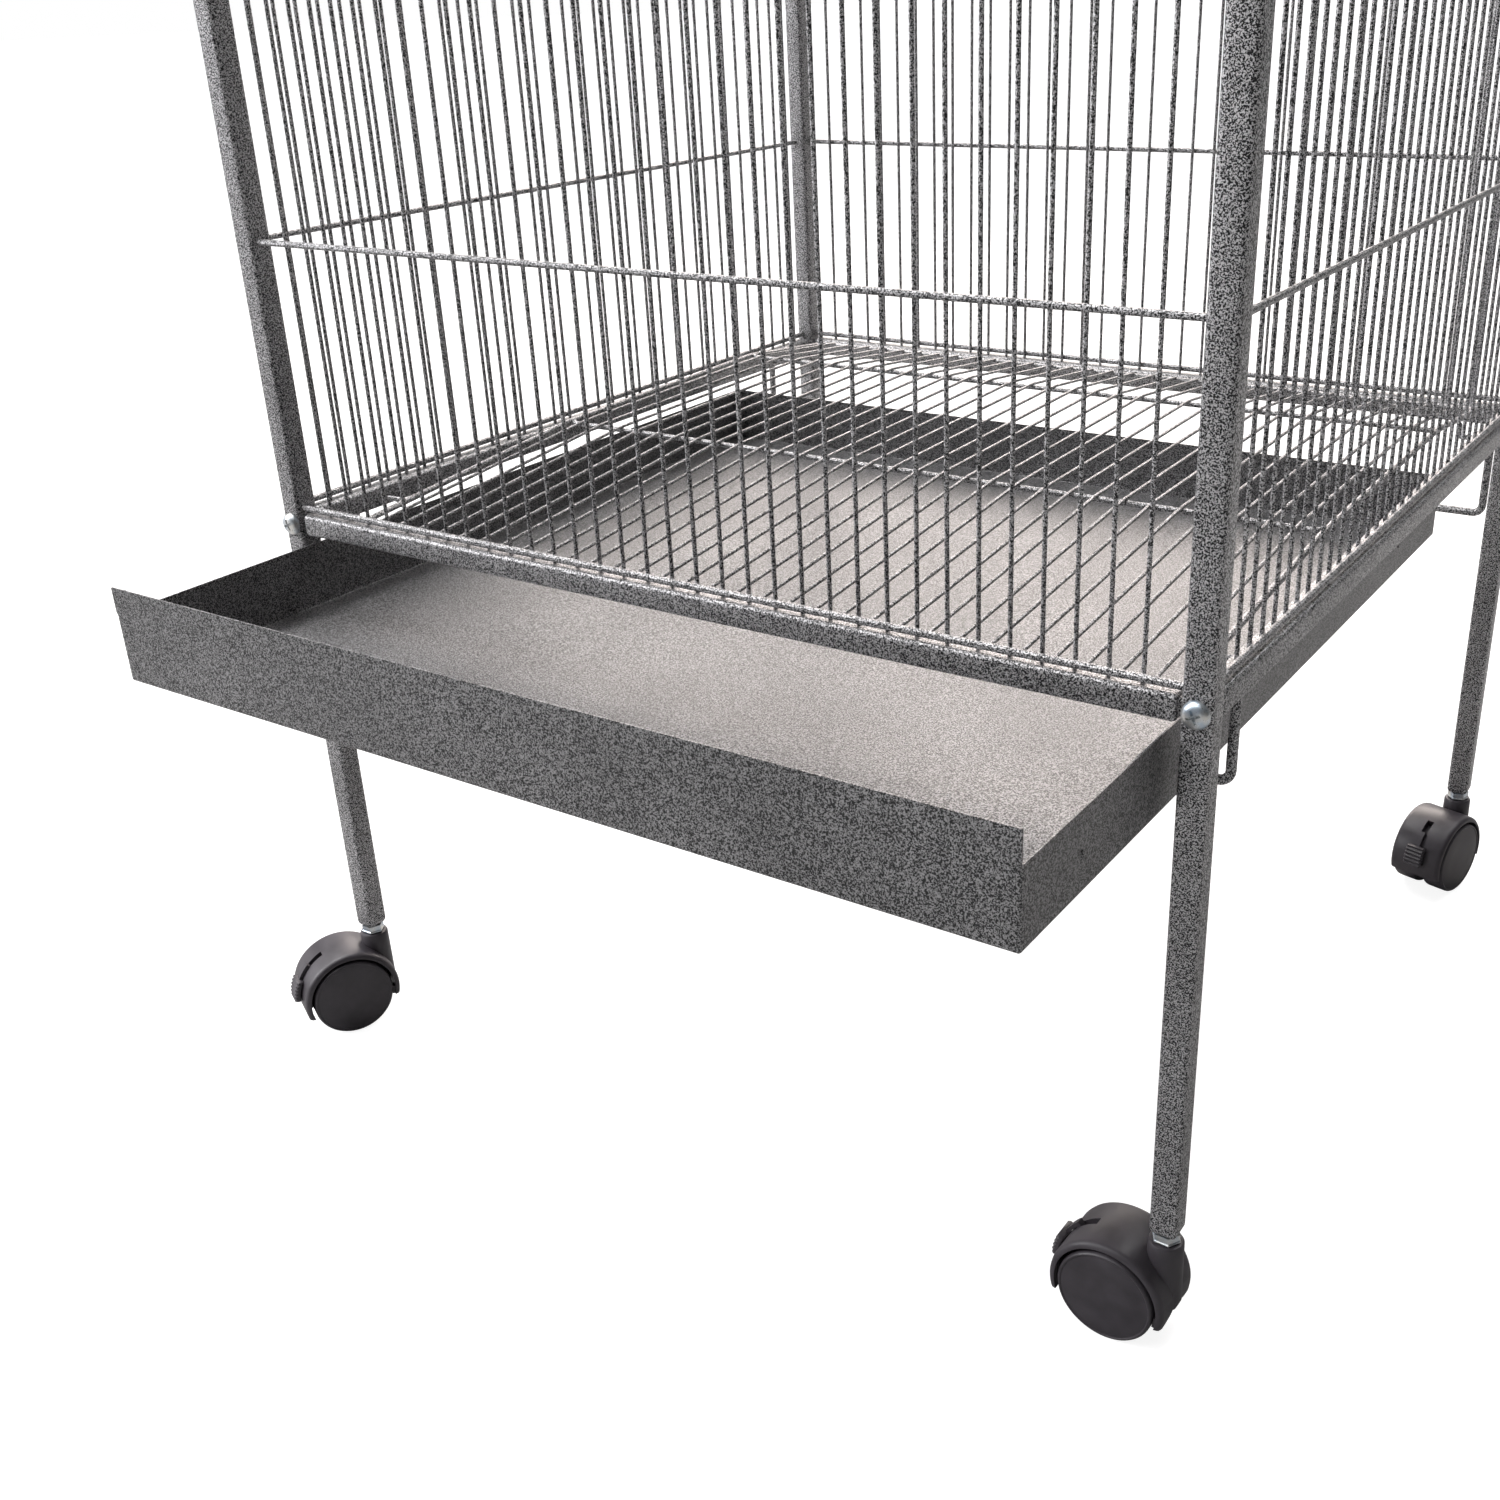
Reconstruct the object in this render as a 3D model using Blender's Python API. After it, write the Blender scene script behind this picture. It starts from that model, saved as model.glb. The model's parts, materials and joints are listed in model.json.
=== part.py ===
"""Bird cage on a rolling stand: tube frame, wire panels, slide-out tray and four twin-wheel casters.

Dimensions are in millimetres in the cage's own frame (x right, y back, z up, centred between the
posts, floor at z = 0).  Meshes are made in metres and moved so that the origin is the bottom centre
of the bounding box.
"""

import math

import bmesh
import bpy
from mathutils import Matrix, Vector

# ---------------------------------------------------------------- driving dimensions
MM = 0.001
GAP = 0.3
ORIGIN = (-12.4, -53.5)

WIDTH = 508.0
DEPTH = 490.0
POST = 12.5
POST_WALL = 1.2
POST_FOOT = 58.6
POST_TOP = 1368.0
CHAMFER = 2.5
TOTAL_TOP = 1372.0

RAIL_H = 11.0
RAIL_W = 11.0
RAIL_WALL = 1.2
BASE_Z = 304.4
TOP_Z = 1358.25
LEDGE_Y = 185.0
LEDGE_HALF = 4.0
LEDGE_INNER = 229.5
SCREW_R = 5.75
SCREW_SHANK = 2.4
SCREW_HOLE = 2.7

WIRE = 2.0
FRAME_WIRE = 3.0
SHEET = 2.4
WIRES = 33
PITCH_X = 14.0
PITCH_Y = 13.65
FOOT_WIRE_Z = 313.3
HEAD_WIRE_Z = 1349.0
MID_Z = (446.6, 896.0)
FRONT_MID_Z = (446.6, 650.0, 1000.0)
PANEL_OUT = 5.6

DOOR_HALF = 98.0
DOOR_LOW = 650.0
DOOR_HIGH = 1000.0
DOOR_LAP = 3.0
HATCH_FROM = 5
HATCH_TO = 13
HATCH_LOW = 786.0
HATCH_HIGH = 896.0
DOOR_OUT = 1.1

GRATE_X = 1.5
GRATE_HALF = 229.0
GRATE_PITCH = 14.5
GRATE_WIRES = 31
GRATE_PROFILE = ((-228.0, 299.0), (-49.0, 315.5), (137.5, 318.0), (226.0, 309.0))

TRAY_OUT = 115.4
TRAY_W = 472.7
TRAY_D = 492.4
TRAY_Z = 261.2
TRAY_SIDE = 33.5
TRAY_FRONT = 47.0
TRAY_T = 1.2

RUNNER = 4.4
RUNNER_X = 248.0
RUNNER_Y = (-203.0, 190.0)
RUNNER_LOW = 256.4

WHEEL_R = 22.8
TRAIL = 20.5
HOOD_R = 27.5
HOOD_HALF = 16.4
HUB_GAP = 2.6
WELL_R = 24.6
AXLE_R = 3.0
SKIRT_REAR = 15.6
SKIRT_FRONT = 19.6
SOCKET_R = 8.0
SOCKET_TOP = 53.6
STEM_R = 3.5
NUT_R = 6.1
NUT_LOW = 54.0
BRAKE_IN = 27.9
BRAKE_OUT = 32.0
BRAKE_HALF = 6.0
HEADINGS = {
    "front_right": 178.7,
    "front_left": 243.1,
    "back_right": 256.0,
    "back_left": 231.0,
}
CORNERS = {
    "front_right": (1, -1),
    "front_left": (-1, -1),
    "back_right": (1, 1),
    "back_left": (-1, 1),
}
POST_X = WIDTH / 2 - POST / 2
POST_Y = DEPTH / 2 - POST / 2


# ---------------------------------------------------------------- scene and materials
def clear_scene():
    for obj in list(bpy.data.objects):
        bpy.data.objects.remove(obj, do_unlink=True)


def make_material(name, colour, metallic, roughness):
    material = bpy.data.materials.new(name)
    material.use_nodes = True
    shader = material.node_tree.nodes["Principled BSDF"]
    shader.inputs["Base Color"].default_value = (*colour, 1.0)
    shader.inputs["Metallic"].default_value = metallic
    shader.inputs["Roughness"].default_value = roughness
    return material


# ---------------------------------------------------------------- mesh helpers
def add_object(name, mesh, material, smooth=False):
    mesh.materials.clear()
    mesh.materials.append(material)
    for face in mesh.polygons:
        face.use_smooth = smooth
    obj = bpy.data.objects.new(name, mesh)
    bpy.context.scene.collection.objects.link(obj)
    return obj


def mesh_from(bm, name):
    bmesh.ops.recalc_face_normals(bm, faces=bm.faces)
    mesh = bpy.data.meshes.new(name)
    bm.to_mesh(mesh)
    bm.free()
    return mesh


def metres(point):
    return Vector((point[0] * MM, point[1] * MM, point[2] * MM))


def cell_mesh(name, cuts, filled, place):
    """Union of boxes on an uneven grid; place maps grid coordinates to millimetres."""
    counts = [len(cut) - 1 for cut in cuts]
    solid = set()
    for i in range(counts[0]):
        for j in range(counts[1]):
            for k in range(counts[2]):
                centre = [
                    (cuts[axis][n] + cuts[axis][n + 1]) / 2
                    for axis, n in enumerate((i, j, k))
                ]
                if filled(*centre):
                    solid.add((i, j, k))
    bm = bmesh.new()
    verts = {}

    def vert(key):
        if key not in verts:
            at = place(cuts[0][key[0]], cuts[1][key[1]], cuts[2][key[2]])
            verts[key] = bm.verts.new(metres(at))
        return verts[key]

    for cell in solid:
        for axis in range(3):
            for side in (0, 1):
                near = list(cell)
                near[axis] += 1 if side else -1
                if tuple(near) in solid:
                    continue
                first, second = [a for a in range(3) if a != axis]
                corners = []
                for a, b in ((0, 0), (1, 0), (1, 1), (0, 1)):
                    key = list(cell)
                    key[axis] += side
                    key[first] += a
                    key[second] += b
                    corners.append(vert(tuple(key)))
                bm.faces.new(corners)
    return mesh_from(bm, name)


def bars_mesh(name, bars, depth, place):
    """Flat lattice: the union of rectangles (s0, s1, t0, t1), given a thickness."""
    cuts_s = sorted({round(v, 4) for bar in bars for v in bar[:2]})
    cuts_t = sorted({round(v, 4) for bar in bars for v in bar[2:]})

    def inside(s, t, _):
        return any(b[0] < s < b[1] and b[2] < t < b[3] for b in bars)

    return cell_mesh(name, (cuts_s, cuts_t, [-depth / 2, depth / 2]), inside, place)


def loft_mesh(name, loops, closed_ends=True, ring=False):
    """Skin through loops of equal length; ring joins the last loop to the first."""
    bm = bmesh.new()
    rows = [[bm.verts.new(metres(p)) for p in loop] for loop in loops]
    pairs = list(zip(rows, rows[1:]))
    if ring:
        pairs.append((rows[-1], rows[0]))
    for low, high in pairs:
        count = len(low)
        for i in range(count):
            j = (i + 1) % count
            bm.faces.new((low[i], low[j], high[j], high[i]))
    if closed_ends and not ring:
        bm.faces.new(rows[0])
        bm.faces.new(rows[-1])
    return mesh_from(bm, name)


def rounded(half_w, half_h, r_low, r_high):
    """Corner-rounded rectangle, three points to a corner."""
    points = []
    corners = ((1, 1, r_high), (-1, 1, r_high), (-1, -1, r_low), (1, -1, r_low))
    for index, (sx, sy, r) in enumerate(corners):
        for step in range(3):
            angle = math.radians(90 * index + 45 * step)
            x = sx * (half_w - r) + r * math.cos(angle)
            y = sy * (half_h - r) + r * math.sin(angle)
            points.append((x, y))
    return points


def turned_mesh(name, profile, segments, place):
    """Revolve (radius, height) points that start and end on the axis."""
    bm = bmesh.new()
    rows = []
    for radius, height in profile:
        if radius < 1e-6:
            rows.append([bm.verts.new(metres(place(0.0, 0.0, height)))])
            continue
        row = []
        for i in range(segments):
            angle = 2 * math.pi * i / segments
            at = place(radius * math.cos(angle), radius * math.sin(angle), height)
            row.append(bm.verts.new(metres(at)))
        rows.append(row)
    for low, high in zip(rows, rows[1:]):
        for i in range(segments):
            j = (i + 1) % segments
            if len(low) == 1:
                bm.faces.new((low[0], high[i], high[j]))
            elif len(high) == 1:
                bm.faces.new((low[i], low[j], high[0]))
            else:
                bm.faces.new((low[i], low[j], high[j], high[i]))
    return mesh_from(bm, name)


def upright(x, y, z):
    return (x, y, z)


def along_y(x, y, z):
    return (x, z, y)


def box_mesh(name, low, high):
    cuts = [[low[axis], high[axis]] for axis in range(3)]
    return cell_mesh(name, cuts, lambda *_: True, upright)


def helper(mesh):
    obj = bpy.data.objects.new(mesh.name, mesh)
    bpy.context.scene.collection.objects.link(obj)
    obj.hide_render = True
    obj.display_type = "WIRE"
    return obj


def combined(name, base, steps):
    """Apply Boolean steps (operation, mesh) to a mesh and return the result."""
    work = bpy.data.objects.new(name, base)
    bpy.context.scene.collection.objects.link(work)
    used = []
    for operation, mesh in steps:
        tool = helper(mesh)
        used.append(tool)
        modifier = work.modifiers.new(operation, "BOOLEAN")
        modifier.operation = operation
        modifier.solver = "EXACT"
        modifier.object = tool
    bpy.context.view_layer.update()
    graph = bpy.context.evaluated_depsgraph_get()
    result = bpy.data.meshes.new_from_object(work.evaluated_get(graph))
    result.name = name
    bm = bmesh.new()
    bm.from_mesh(result)
    bmesh.ops.remove_doubles(bm, verts=bm.verts, dist=2e-6)
    bmesh.ops.dissolve_degenerate(bm, edges=bm.edges, dist=1e-6)
    bm.to_mesh(result)
    bm.free()
    for obj in [work] + used:
        bpy.data.objects.remove(obj, do_unlink=True)
    return result


# ---------------------------------------------------------------- posts, rails, fixings
def post_mesh(sx, sy):
    cx, cy = sx * POST_X, sy * POST_Y
    outer = rounded(POST / 2, POST / 2, 1.8, 1.8)
    small = rounded(POST / 2 - CHAMFER, POST / 2 - CHAMFER, 1.2, 1.2)
    half = POST / 2 - POST_WALL
    inner = rounded(half, half, 0.8, 0.8)
    loops = []
    for shape, z in (
        (small, POST_FOOT),
        (outer, POST_FOOT + 5.0),
        (outer, POST_TOP),
        (inner, POST_TOP),
        (inner, POST_FOOT + 7.0),
    ):
        loops.append([(cx + x, cy + y, z) for x, y in shape])
    return loft_mesh("post", loops)


def post_with_holes(sx, sy):
    steps = []
    for z in (BASE_Z, TOP_Z):

        def place(x, y, h, z=z):
            return (sx * POST_X + x, sy * POST_Y + h, z + y)

        profile = ((0, -POST), (SCREW_HOLE, -POST), (SCREW_HOLE, POST), (0, POST))
        steps.append(("DIFFERENCE", turned_mesh("drill", profile, 8, place)))
    return combined("post", post_mesh(sx, sy), steps)


def rail_mesh(length, place, round_top):
    outer = rounded(RAIL_W / 2, RAIL_H / 2, 1.2, round_top)
    inner = rounded(RAIL_W / 2 - RAIL_WALL, RAIL_H / 2 - RAIL_WALL, 0.6, round_top - 1.0)
    half = length / 2
    loops = []
    for shape, s in ((outer, -half), (outer, half), (inner, half), (inner, -half)):
        loops.append([place(s, x, y) for x, y in shape])
    return loft_mesh("rail", loops, ring=True)


def screw_mesh(sx, sy, z):
    face = sy * (DEPTH / 2)

    def place(x, y, h):
        return (sx * POST_X + x, face + sy * h, z + y)

    head = ((0, 3.4), (4.2, 2.6), (SCREW_R, 0.2))
    shank = ((SCREW_SHANK, 0.2), (SCREW_SHANK, -19.0), (0, -19.0))
    return turned_mesh("screw", head + shank, 10, place)


def plug_mesh(sx, sy):
    cx, cy = sx * POST_X, sy * POST_Y
    half = POST / 2 - POST_WALL - GAP
    steps = (
        (half, POST_TOP - 6.5),
        (half, POST_TOP + GAP),
        (POST / 2, POST_TOP + GAP),
        (POST / 2, TOTAL_TOP - 1.4),
        (POST / 2 - 1.4, TOTAL_TOP),
    )
    loops = []
    for r, z in steps:
        loops.append([(cx + r * a, cy + r * b, z) for a, b in ((1, 1), (-1, 1), (-1, -1), (1, -1))])
    return loft_mesh("plug", loops)


# ---------------------------------------------------------------- wire panels
def band(centre, width):
    return (centre - width / 2, centre + width / 2)


def panel_bars(pitch, reach, mids, gap_bars=None):
    """Vertical wires with horizontal wires across them, and openings left free."""
    bars = []
    half = (WIRES - 1) / 2
    for index in range(WIRES):
        s = (index - half) * pitch
        spans = [(FOOT_WIRE_Z, HEAD_WIRE_Z)]
        if gap_bars and gap_bars["first"] < index < gap_bars["last"]:
            spans = [(FOOT_WIRE_Z, gap_bars["low"]), (gap_bars["high"], HEAD_WIRE_Z)]
        for low, high in spans:
            bars.append((*band(s, WIRE), low, high))
    for z in (FOOT_WIRE_Z, *mids, HEAD_WIRE_Z):
        bars.append((-reach, reach, *band(z, FRAME_WIRE)))
    if gap_bars:
        low_s = (gap_bars["first"] - half) * pitch
        high_s = (gap_bars["last"] - half) * pitch
        for z in (gap_bars["low"], gap_bars["high"]):
            bars.append((low_s, high_s, *band(z, FRAME_WIRE)))
    return bars


def door_bars(low_s, high_s, low_z, high_z, inner_s, mids):
    bars = []
    for s in (low_s, high_s):
        bars.append((*band(s, FRAME_WIRE), low_z - 1.5, high_z + 1.5))
    for z in (low_z, high_z, *mids):
        bars.append((low_s, high_s, *band(z, FRAME_WIRE)))
    for s in inner_s:
        bars.append((*band(s, WIRE), low_z, high_z))
    return bars


def barrel(centre, axis, toward):
    """Hinge eye round a door's edge wire, with the tab that welds it to the panel."""

    def place(x, y, h):
        if axis == "z":
            return (centre[0] + x, centre[1] + y, centre[2] + h)
        return (centre[0] + x, centre[1] + h, centre[2] + y)

    outer = ((0, -4.0), (3.7, -4.0), (3.7, 4.0), (0, 4.0))
    hole = ((0, -6.0), (2.4, -6.0), (2.4, 6.0), (0, 6.0))
    tab = box_mesh("tab", toward[0], toward[1])
    eye = combined("eye", turned_mesh("eye", outer, 12, place), [("UNION", tab)])
    return combined("eye", eye, [("DIFFERENCE", turned_mesh("hole", hole, 12, place))])


def front_panel():
    y = -(DEPTH / 2 - PANEL_OUT)
    openings = {"first": 9, "last": 23, "low": DOOR_LOW, "high": DOOR_HIGH}
    bars = panel_bars(PITCH_X, WIDTH / 2 - POST - GAP, FRONT_MID_Z, openings)

    def place(s, t, n):
        return (s, y + n, t)

    base = bars_mesh("panel_front", bars, SHEET, place)
    hinge_x, hinge_y = -(DOOR_HALF + DOOR_LAP), -(DEPTH / 2 - DOOR_OUT)
    steps = []
    for z in (DOOR_LOW + 60, DOOR_HIGH - 60):
        tab = ((hinge_x - 1.7, hinge_y + 2.6, z - 3.6), (-DOOR_HALF + 0.7, y + 0.9, z + 3.6))
        steps.append(("UNION", barrel((hinge_x, hinge_y, z), "z", tab)))
    return combined("panel_front", base, steps)


def back_panel():
    y = DEPTH / 2 - PANEL_OUT
    bars = panel_bars(PITCH_X, WIDTH / 2 - POST - GAP, MID_Z)
    return bars_mesh("panel_back", bars, SHEET, lambda s, t, n: (s, y + n, t))


def side_panel(sx):
    x = sx * (WIDTH / 2 - PANEL_OUT)
    openings = {"first": HATCH_FROM, "last": HATCH_TO, "low": HATCH_LOW, "high": HATCH_HIGH}
    bars = panel_bars(PITCH_Y, DEPTH / 2 - POST - GAP, MID_Z, openings)
    base = bars_mesh("panel_side", bars, SHEET, lambda s, t, n: (x + n, s, t))
    half = (WIRES - 1) / 2
    hinge_x, hinge_z = sx * (WIDTH / 2 - DOOR_OUT), HATCH_HIGH + DOOR_LAP
    ends = (x - sx * 0.9, hinge_x - sx * 2.6)
    steps = []
    for index in (HATCH_FROM + 1.5, HATCH_TO - 1.5):
        s = (index - half) * PITCH_Y
        low = (min(ends), s - 3.6, HATCH_HIGH - 1.1)
        high = (max(ends), s + 3.6, hinge_z + 1.7)
        steps.append(("UNION", barrel((hinge_x, s, hinge_z), "y", (low, high))))
    return combined("panel_side", base, steps)


def front_door():
    y = -(DEPTH / 2 - DOOR_OUT)
    edge = DOOR_HALF + DOOR_LAP
    inner = [(index - 6) * PITCH_X for index in range(13)]
    mids = [(DOOR_LOW + DOOR_HIGH) / 2]
    bars = door_bars(-edge, edge, DOOR_LOW - DOOR_LAP, DOOR_HIGH + DOOR_LAP, inner, mids)
    return bars_mesh("door", bars, SHEET, lambda s, t, n: (s, y + n, t))


def side_door(sx):
    x = sx * (WIDTH / 2 - DOOR_OUT)
    half = (WIRES - 1) / 2
    low = (HATCH_FROM - half) * PITCH_Y - DOOR_LAP
    high = (HATCH_TO - half) * PITCH_Y + DOOR_LAP
    inner = [(index - half) * PITCH_Y for index in range(HATCH_FROM + 1, HATCH_TO)]
    bars = door_bars(low, high, HATCH_LOW - DOOR_LAP, HATCH_HIGH + DOOR_LAP, inner, [])
    return bars_mesh("hatch", bars, SHEET, lambda s, t, n: (x + n, s, t))


def latch_mesh():
    x = DOOR_HALF + PITCH_X
    face = -(DEPTH / 2)
    z = (DOOR_LOW + DOOR_HIGH) / 2

    def place(a, b, h):
        return (x + a, face + h, z + b)

    pin = ((0, -4.6), (4.6, -4.6), (5.0, -4.2), (5.0, -2.2), (2.4, -2.2), (2.4, 4.0), (0, 4.0))
    pivot = turned_mesh("pivot", pin, 12, place)
    arm = box_mesh("arm", (x - 4, face - 4.0, z - 36), (x + 4, face - 2.2, z + 1))
    return combined("latch", pivot, [("UNION", arm)])


def roof_mesh():
    bars = []
    half = (WIRES - 1) / 2
    reach = DEPTH / 2 - POST - GAP
    for index in range(WIRES):
        bars.append((*band((index - half) * PITCH_X, WIRE), -reach, reach))
    for y in (-reach + 1.5, 0.0, reach - 1.5):
        bars.append((-(WIDTH / 2 - POST - GAP), WIDTH / 2 - POST - GAP, *band(y, FRAME_WIRE)))
    return bars_mesh("roof", bars, SHEET, lambda s, t, n: (s, t, TOP_Z + n))


def grate_height(y):
    for (y0, z0), (y1, z1) in zip(GRATE_PROFILE, GRATE_PROFILE[1:]):
        if y <= y1 + 5:
            return z0 + (z1 - z0) * (min(y, y1) - y0) / (y1 - y0)
    return GRATE_PROFILE[-1][1]


def grate_mesh():
    bars = []
    ends = (GRATE_PROFILE[0][0], GRATE_PROFILE[-1][0])
    for index in range(GRATE_WIRES):
        s = GRATE_X + (index - (GRATE_WIRES - 1) / 2) * GRATE_PITCH
        bars.append((*band(s, WIRE), *ends))
    for side in (-1, 1):
        bars.append((*band(GRATE_X + side * GRATE_HALF, FRAME_WIRE), *ends))
    low, high = GRATE_X - GRATE_HALF, GRATE_X + GRATE_HALF
    bars.append((low, high, ends[0], ends[0] + FRAME_WIRE))
    bars.append((low, high, ends[1] - FRAME_WIRE, ends[1]))
    for y, _ in GRATE_PROFILE[1:3]:
        bars.append((low, high, y - 1.5, y))
        bars.append((low, high, y, y + 1.5))
    return bars_mesh("grate", bars, SHEET, lambda s, t, n: (s, t, grate_height(t) + n))


# ---------------------------------------------------------------- tray and its runners
def tray_mesh():
    front = -(DEPTH / 2) - TRAY_OUT
    back = front + TRAY_D
    half = TRAY_W / 2
    top_side, top_front = TRAY_Z + TRAY_SIDE, TRAY_Z + TRAY_FRONT
    cuts = (
        [-half, -half + TRAY_T, half - TRAY_T, half],
        [front, front + TRAY_T, back - TRAY_T, back],
        [TRAY_Z, TRAY_Z + TRAY_T, top_side, top_front],
    )

    def filled(x, y, z):
        if z > top_side:
            return y < front + TRAY_T
        wall = abs(x) > half - TRAY_T or y < front + TRAY_T or y > back - TRAY_T
        return wall or z < TRAY_Z + TRAY_T

    return cell_mesh("tray", cuts, filled, upright)


def runner_mesh(y):
    top = BASE_Z - RAIL_H / 2 - GAP
    outer = RUNNER_X + RUNNER / 2
    inner = RUNNER_X - RUNNER / 2
    bars = [
        (-outer, -inner, RUNNER_LOW, top),
        (inner, outer, RUNNER_LOW, top),
        (-outer, outer, RUNNER_LOW, RUNNER_LOW + RUNNER),
    ]
    return bars_mesh("runner", bars, RUNNER, lambda s, t, n: (s, y + n, t))


def side_rail(sx, z, ledges):
    x = sx * POST_X
    length = DEPTH - 2 * POST - 2 * GAP
    base = rail_mesh(length, lambda s, a, b: (x + a, s, z + b), 3.0 if ledges else 1.2)
    if not ledges:
        return base
    steps = []
    for y in (-LEDGE_Y, LEDGE_Y):
        top = grate_height(y) - SHEET / 2 - GAP - 0.5
        ends = sorted((sx * LEDGE_INNER, sx * (POST_X - RAIL_W / 2 + RAIL_WALL / 2)))
        under = min(top - 1.8, BASE_Z + 1.0)
        low, high = (ends[0], y - LEDGE_HALF, under), (ends[1], y + LEDGE_HALF, top)
        steps.append(("UNION", box_mesh("ledge", low, high)))
    return combined("rail_side", base, steps)


# ---------------------------------------------------------------- casters (local: +x is the brake side)
def across(x, y, z):
    """Turned about the axle: the profile's height runs along the caster's width."""
    return (x, z, y + WHEEL_R)


def arc_bar(name, r0, r1, a0, a1, half, steps):
    loops = []
    for i in range(steps + 1):
        angle = math.radians(a0 + (a1 - a0) * i / steps)
        c, s = math.cos(angle), math.sin(angle)
        loops.append(
            [
                (r0 * c, -half, WHEEL_R + r0 * s),
                (r1 * c, -half, WHEEL_R + r1 * s),
                (r1 * c, half, WHEEL_R + r1 * s),
                (r0 * c, half, WHEEL_R + r0 * s),
            ]
        )
    return loft_mesh(name, loops)


def hood_mesh():
    edge = HOOD_HALF
    shell = (
        (0, -edge),
        (HOOD_R - 1.4, -edge),
        (HOOD_R, -edge + 2.0),
        (HOOD_R, edge - 2.0),
        (HOOD_R - 1.4, edge),
        (0, edge),
    )
    well = ((0, HUB_GAP), (WELL_R, HUB_GAP), (WELL_R, 20.0), (0, 20.0))
    far_well = [(r, -h) for r, h in well]
    axle = ((0, -14.2), (AXLE_R, -14.2), (AXLE_R, 14.2), (0, 14.2))

    def stem(x, y, h):
        return (x - TRAIL, y, h)

    wall = ((0, 20.0), (SOCKET_R, 20.0), (SOCKET_R, SOCKET_TOP), (0, SOCKET_TOP))
    hole = STEM_R + 2 * GAP
    bore = ((0, 33.6), (hole, 33.6), (hole, 60.0), (0, 60.0))
    rear_cut = box_mesh("rear_cut", (-40, -30, -5), (0.02, 30, SKIRT_REAR))
    front_cut = box_mesh("front_cut", (-0.02, -30, -5), (40, 30, SKIRT_FRONT))
    slot = arc_bar("slot", 23.0, 30.0, 36.0, 66.0, 2.0, 3)
    steps = [
        ("UNION", turned_mesh("socket", wall, 12, stem)),
        ("DIFFERENCE", turned_mesh("well", well, 20, across)),
        ("DIFFERENCE", turned_mesh("far_well", far_well, 20, across)),
        ("UNION", turned_mesh("axle", axle, 8, across)),
        ("DIFFERENCE", rear_cut),
        ("DIFFERENCE", front_cut),
        ("DIFFERENCE", slot),
        ("DIFFERENCE", turned_mesh("bore", bore, 8, stem)),
    ]
    return combined("hood", turned_mesh("shell", shell, 24, across), steps)


def wheel_mesh(side):
    profile = (
        (0, 14.6),
        (AXLE_R + GAP, 14.6),
        (AXLE_R + GAP, 3.2),
        (WHEEL_R, 3.2),
        (WHEEL_R, 15.4),
        (21.3, 17.0),
        (0, 17.4),
    )
    return turned_mesh("wheel", [(r, side * h) for r, h in profile], 20, across)


def brake_mesh():
    paddle = arc_bar("paddle", BRAKE_IN, BRAKE_OUT, 1.0, 27.0, BRAKE_HALF, 2)
    neck = arc_bar("neck", BRAKE_IN, 29.6, 26.0, 46.0, 1.7, 2)
    tip = arc_bar("tip", 23.6, 29.6, 40.0, 46.0, 1.7, 1)
    return combined("brake", paddle, [("UNION", neck), ("UNION", tip)])


def stem_mesh():
    top = POST_FOOT - GAP
    profile = ((0, 34.0), (STEM_R, 34.0), (STEM_R, NUT_LOW + 1.0), (0, NUT_LOW + 1.0))

    def place(x, y, h):
        return (x - TRAIL, y, h)

    face = NUT_R - 0.5
    low = ((0, NUT_LOW), (face, NUT_LOW), (NUT_R, NUT_LOW + 0.6))
    high = ((NUT_R, top - 0.6), (face, top), (0, top))
    shaft = turned_mesh("shaft", profile, 8, place)
    return combined("stem", turned_mesh("nut", low + high, 6, place), [("UNION", shaft)])


def caster(corner, meshes, materials):
    sx, sy = CORNERS[corner]
    heading = math.radians(HEADINGS[corner])
    turn = Matrix.Rotation(heading, 4, "Z")
    stem = Matrix.Translation(metres((sx * POST_X, sy * POST_Y, 0)))
    matrix = stem @ turn @ Matrix.Translation(metres((TRAIL, 0, 0)))
    axle = metres((0, 0, WHEEL_R))
    pivot = metres((-TRAIL, 0, 0))
    for part, at in (
        ("hood", pivot),
        ("wheel_left", axle),
        ("wheel_right", axle),
        ("brake_tab", axle),
        ("stem", pivot),
    ):
        mesh, material = meshes[part], materials[part]
        obj = add_object(f"caster_{corner}_{part}", mesh.copy(), material, True)
        obj.data.transform(Matrix.Translation(-at))
        obj.matrix_world = matrix @ Matrix.Translation(at)


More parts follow.
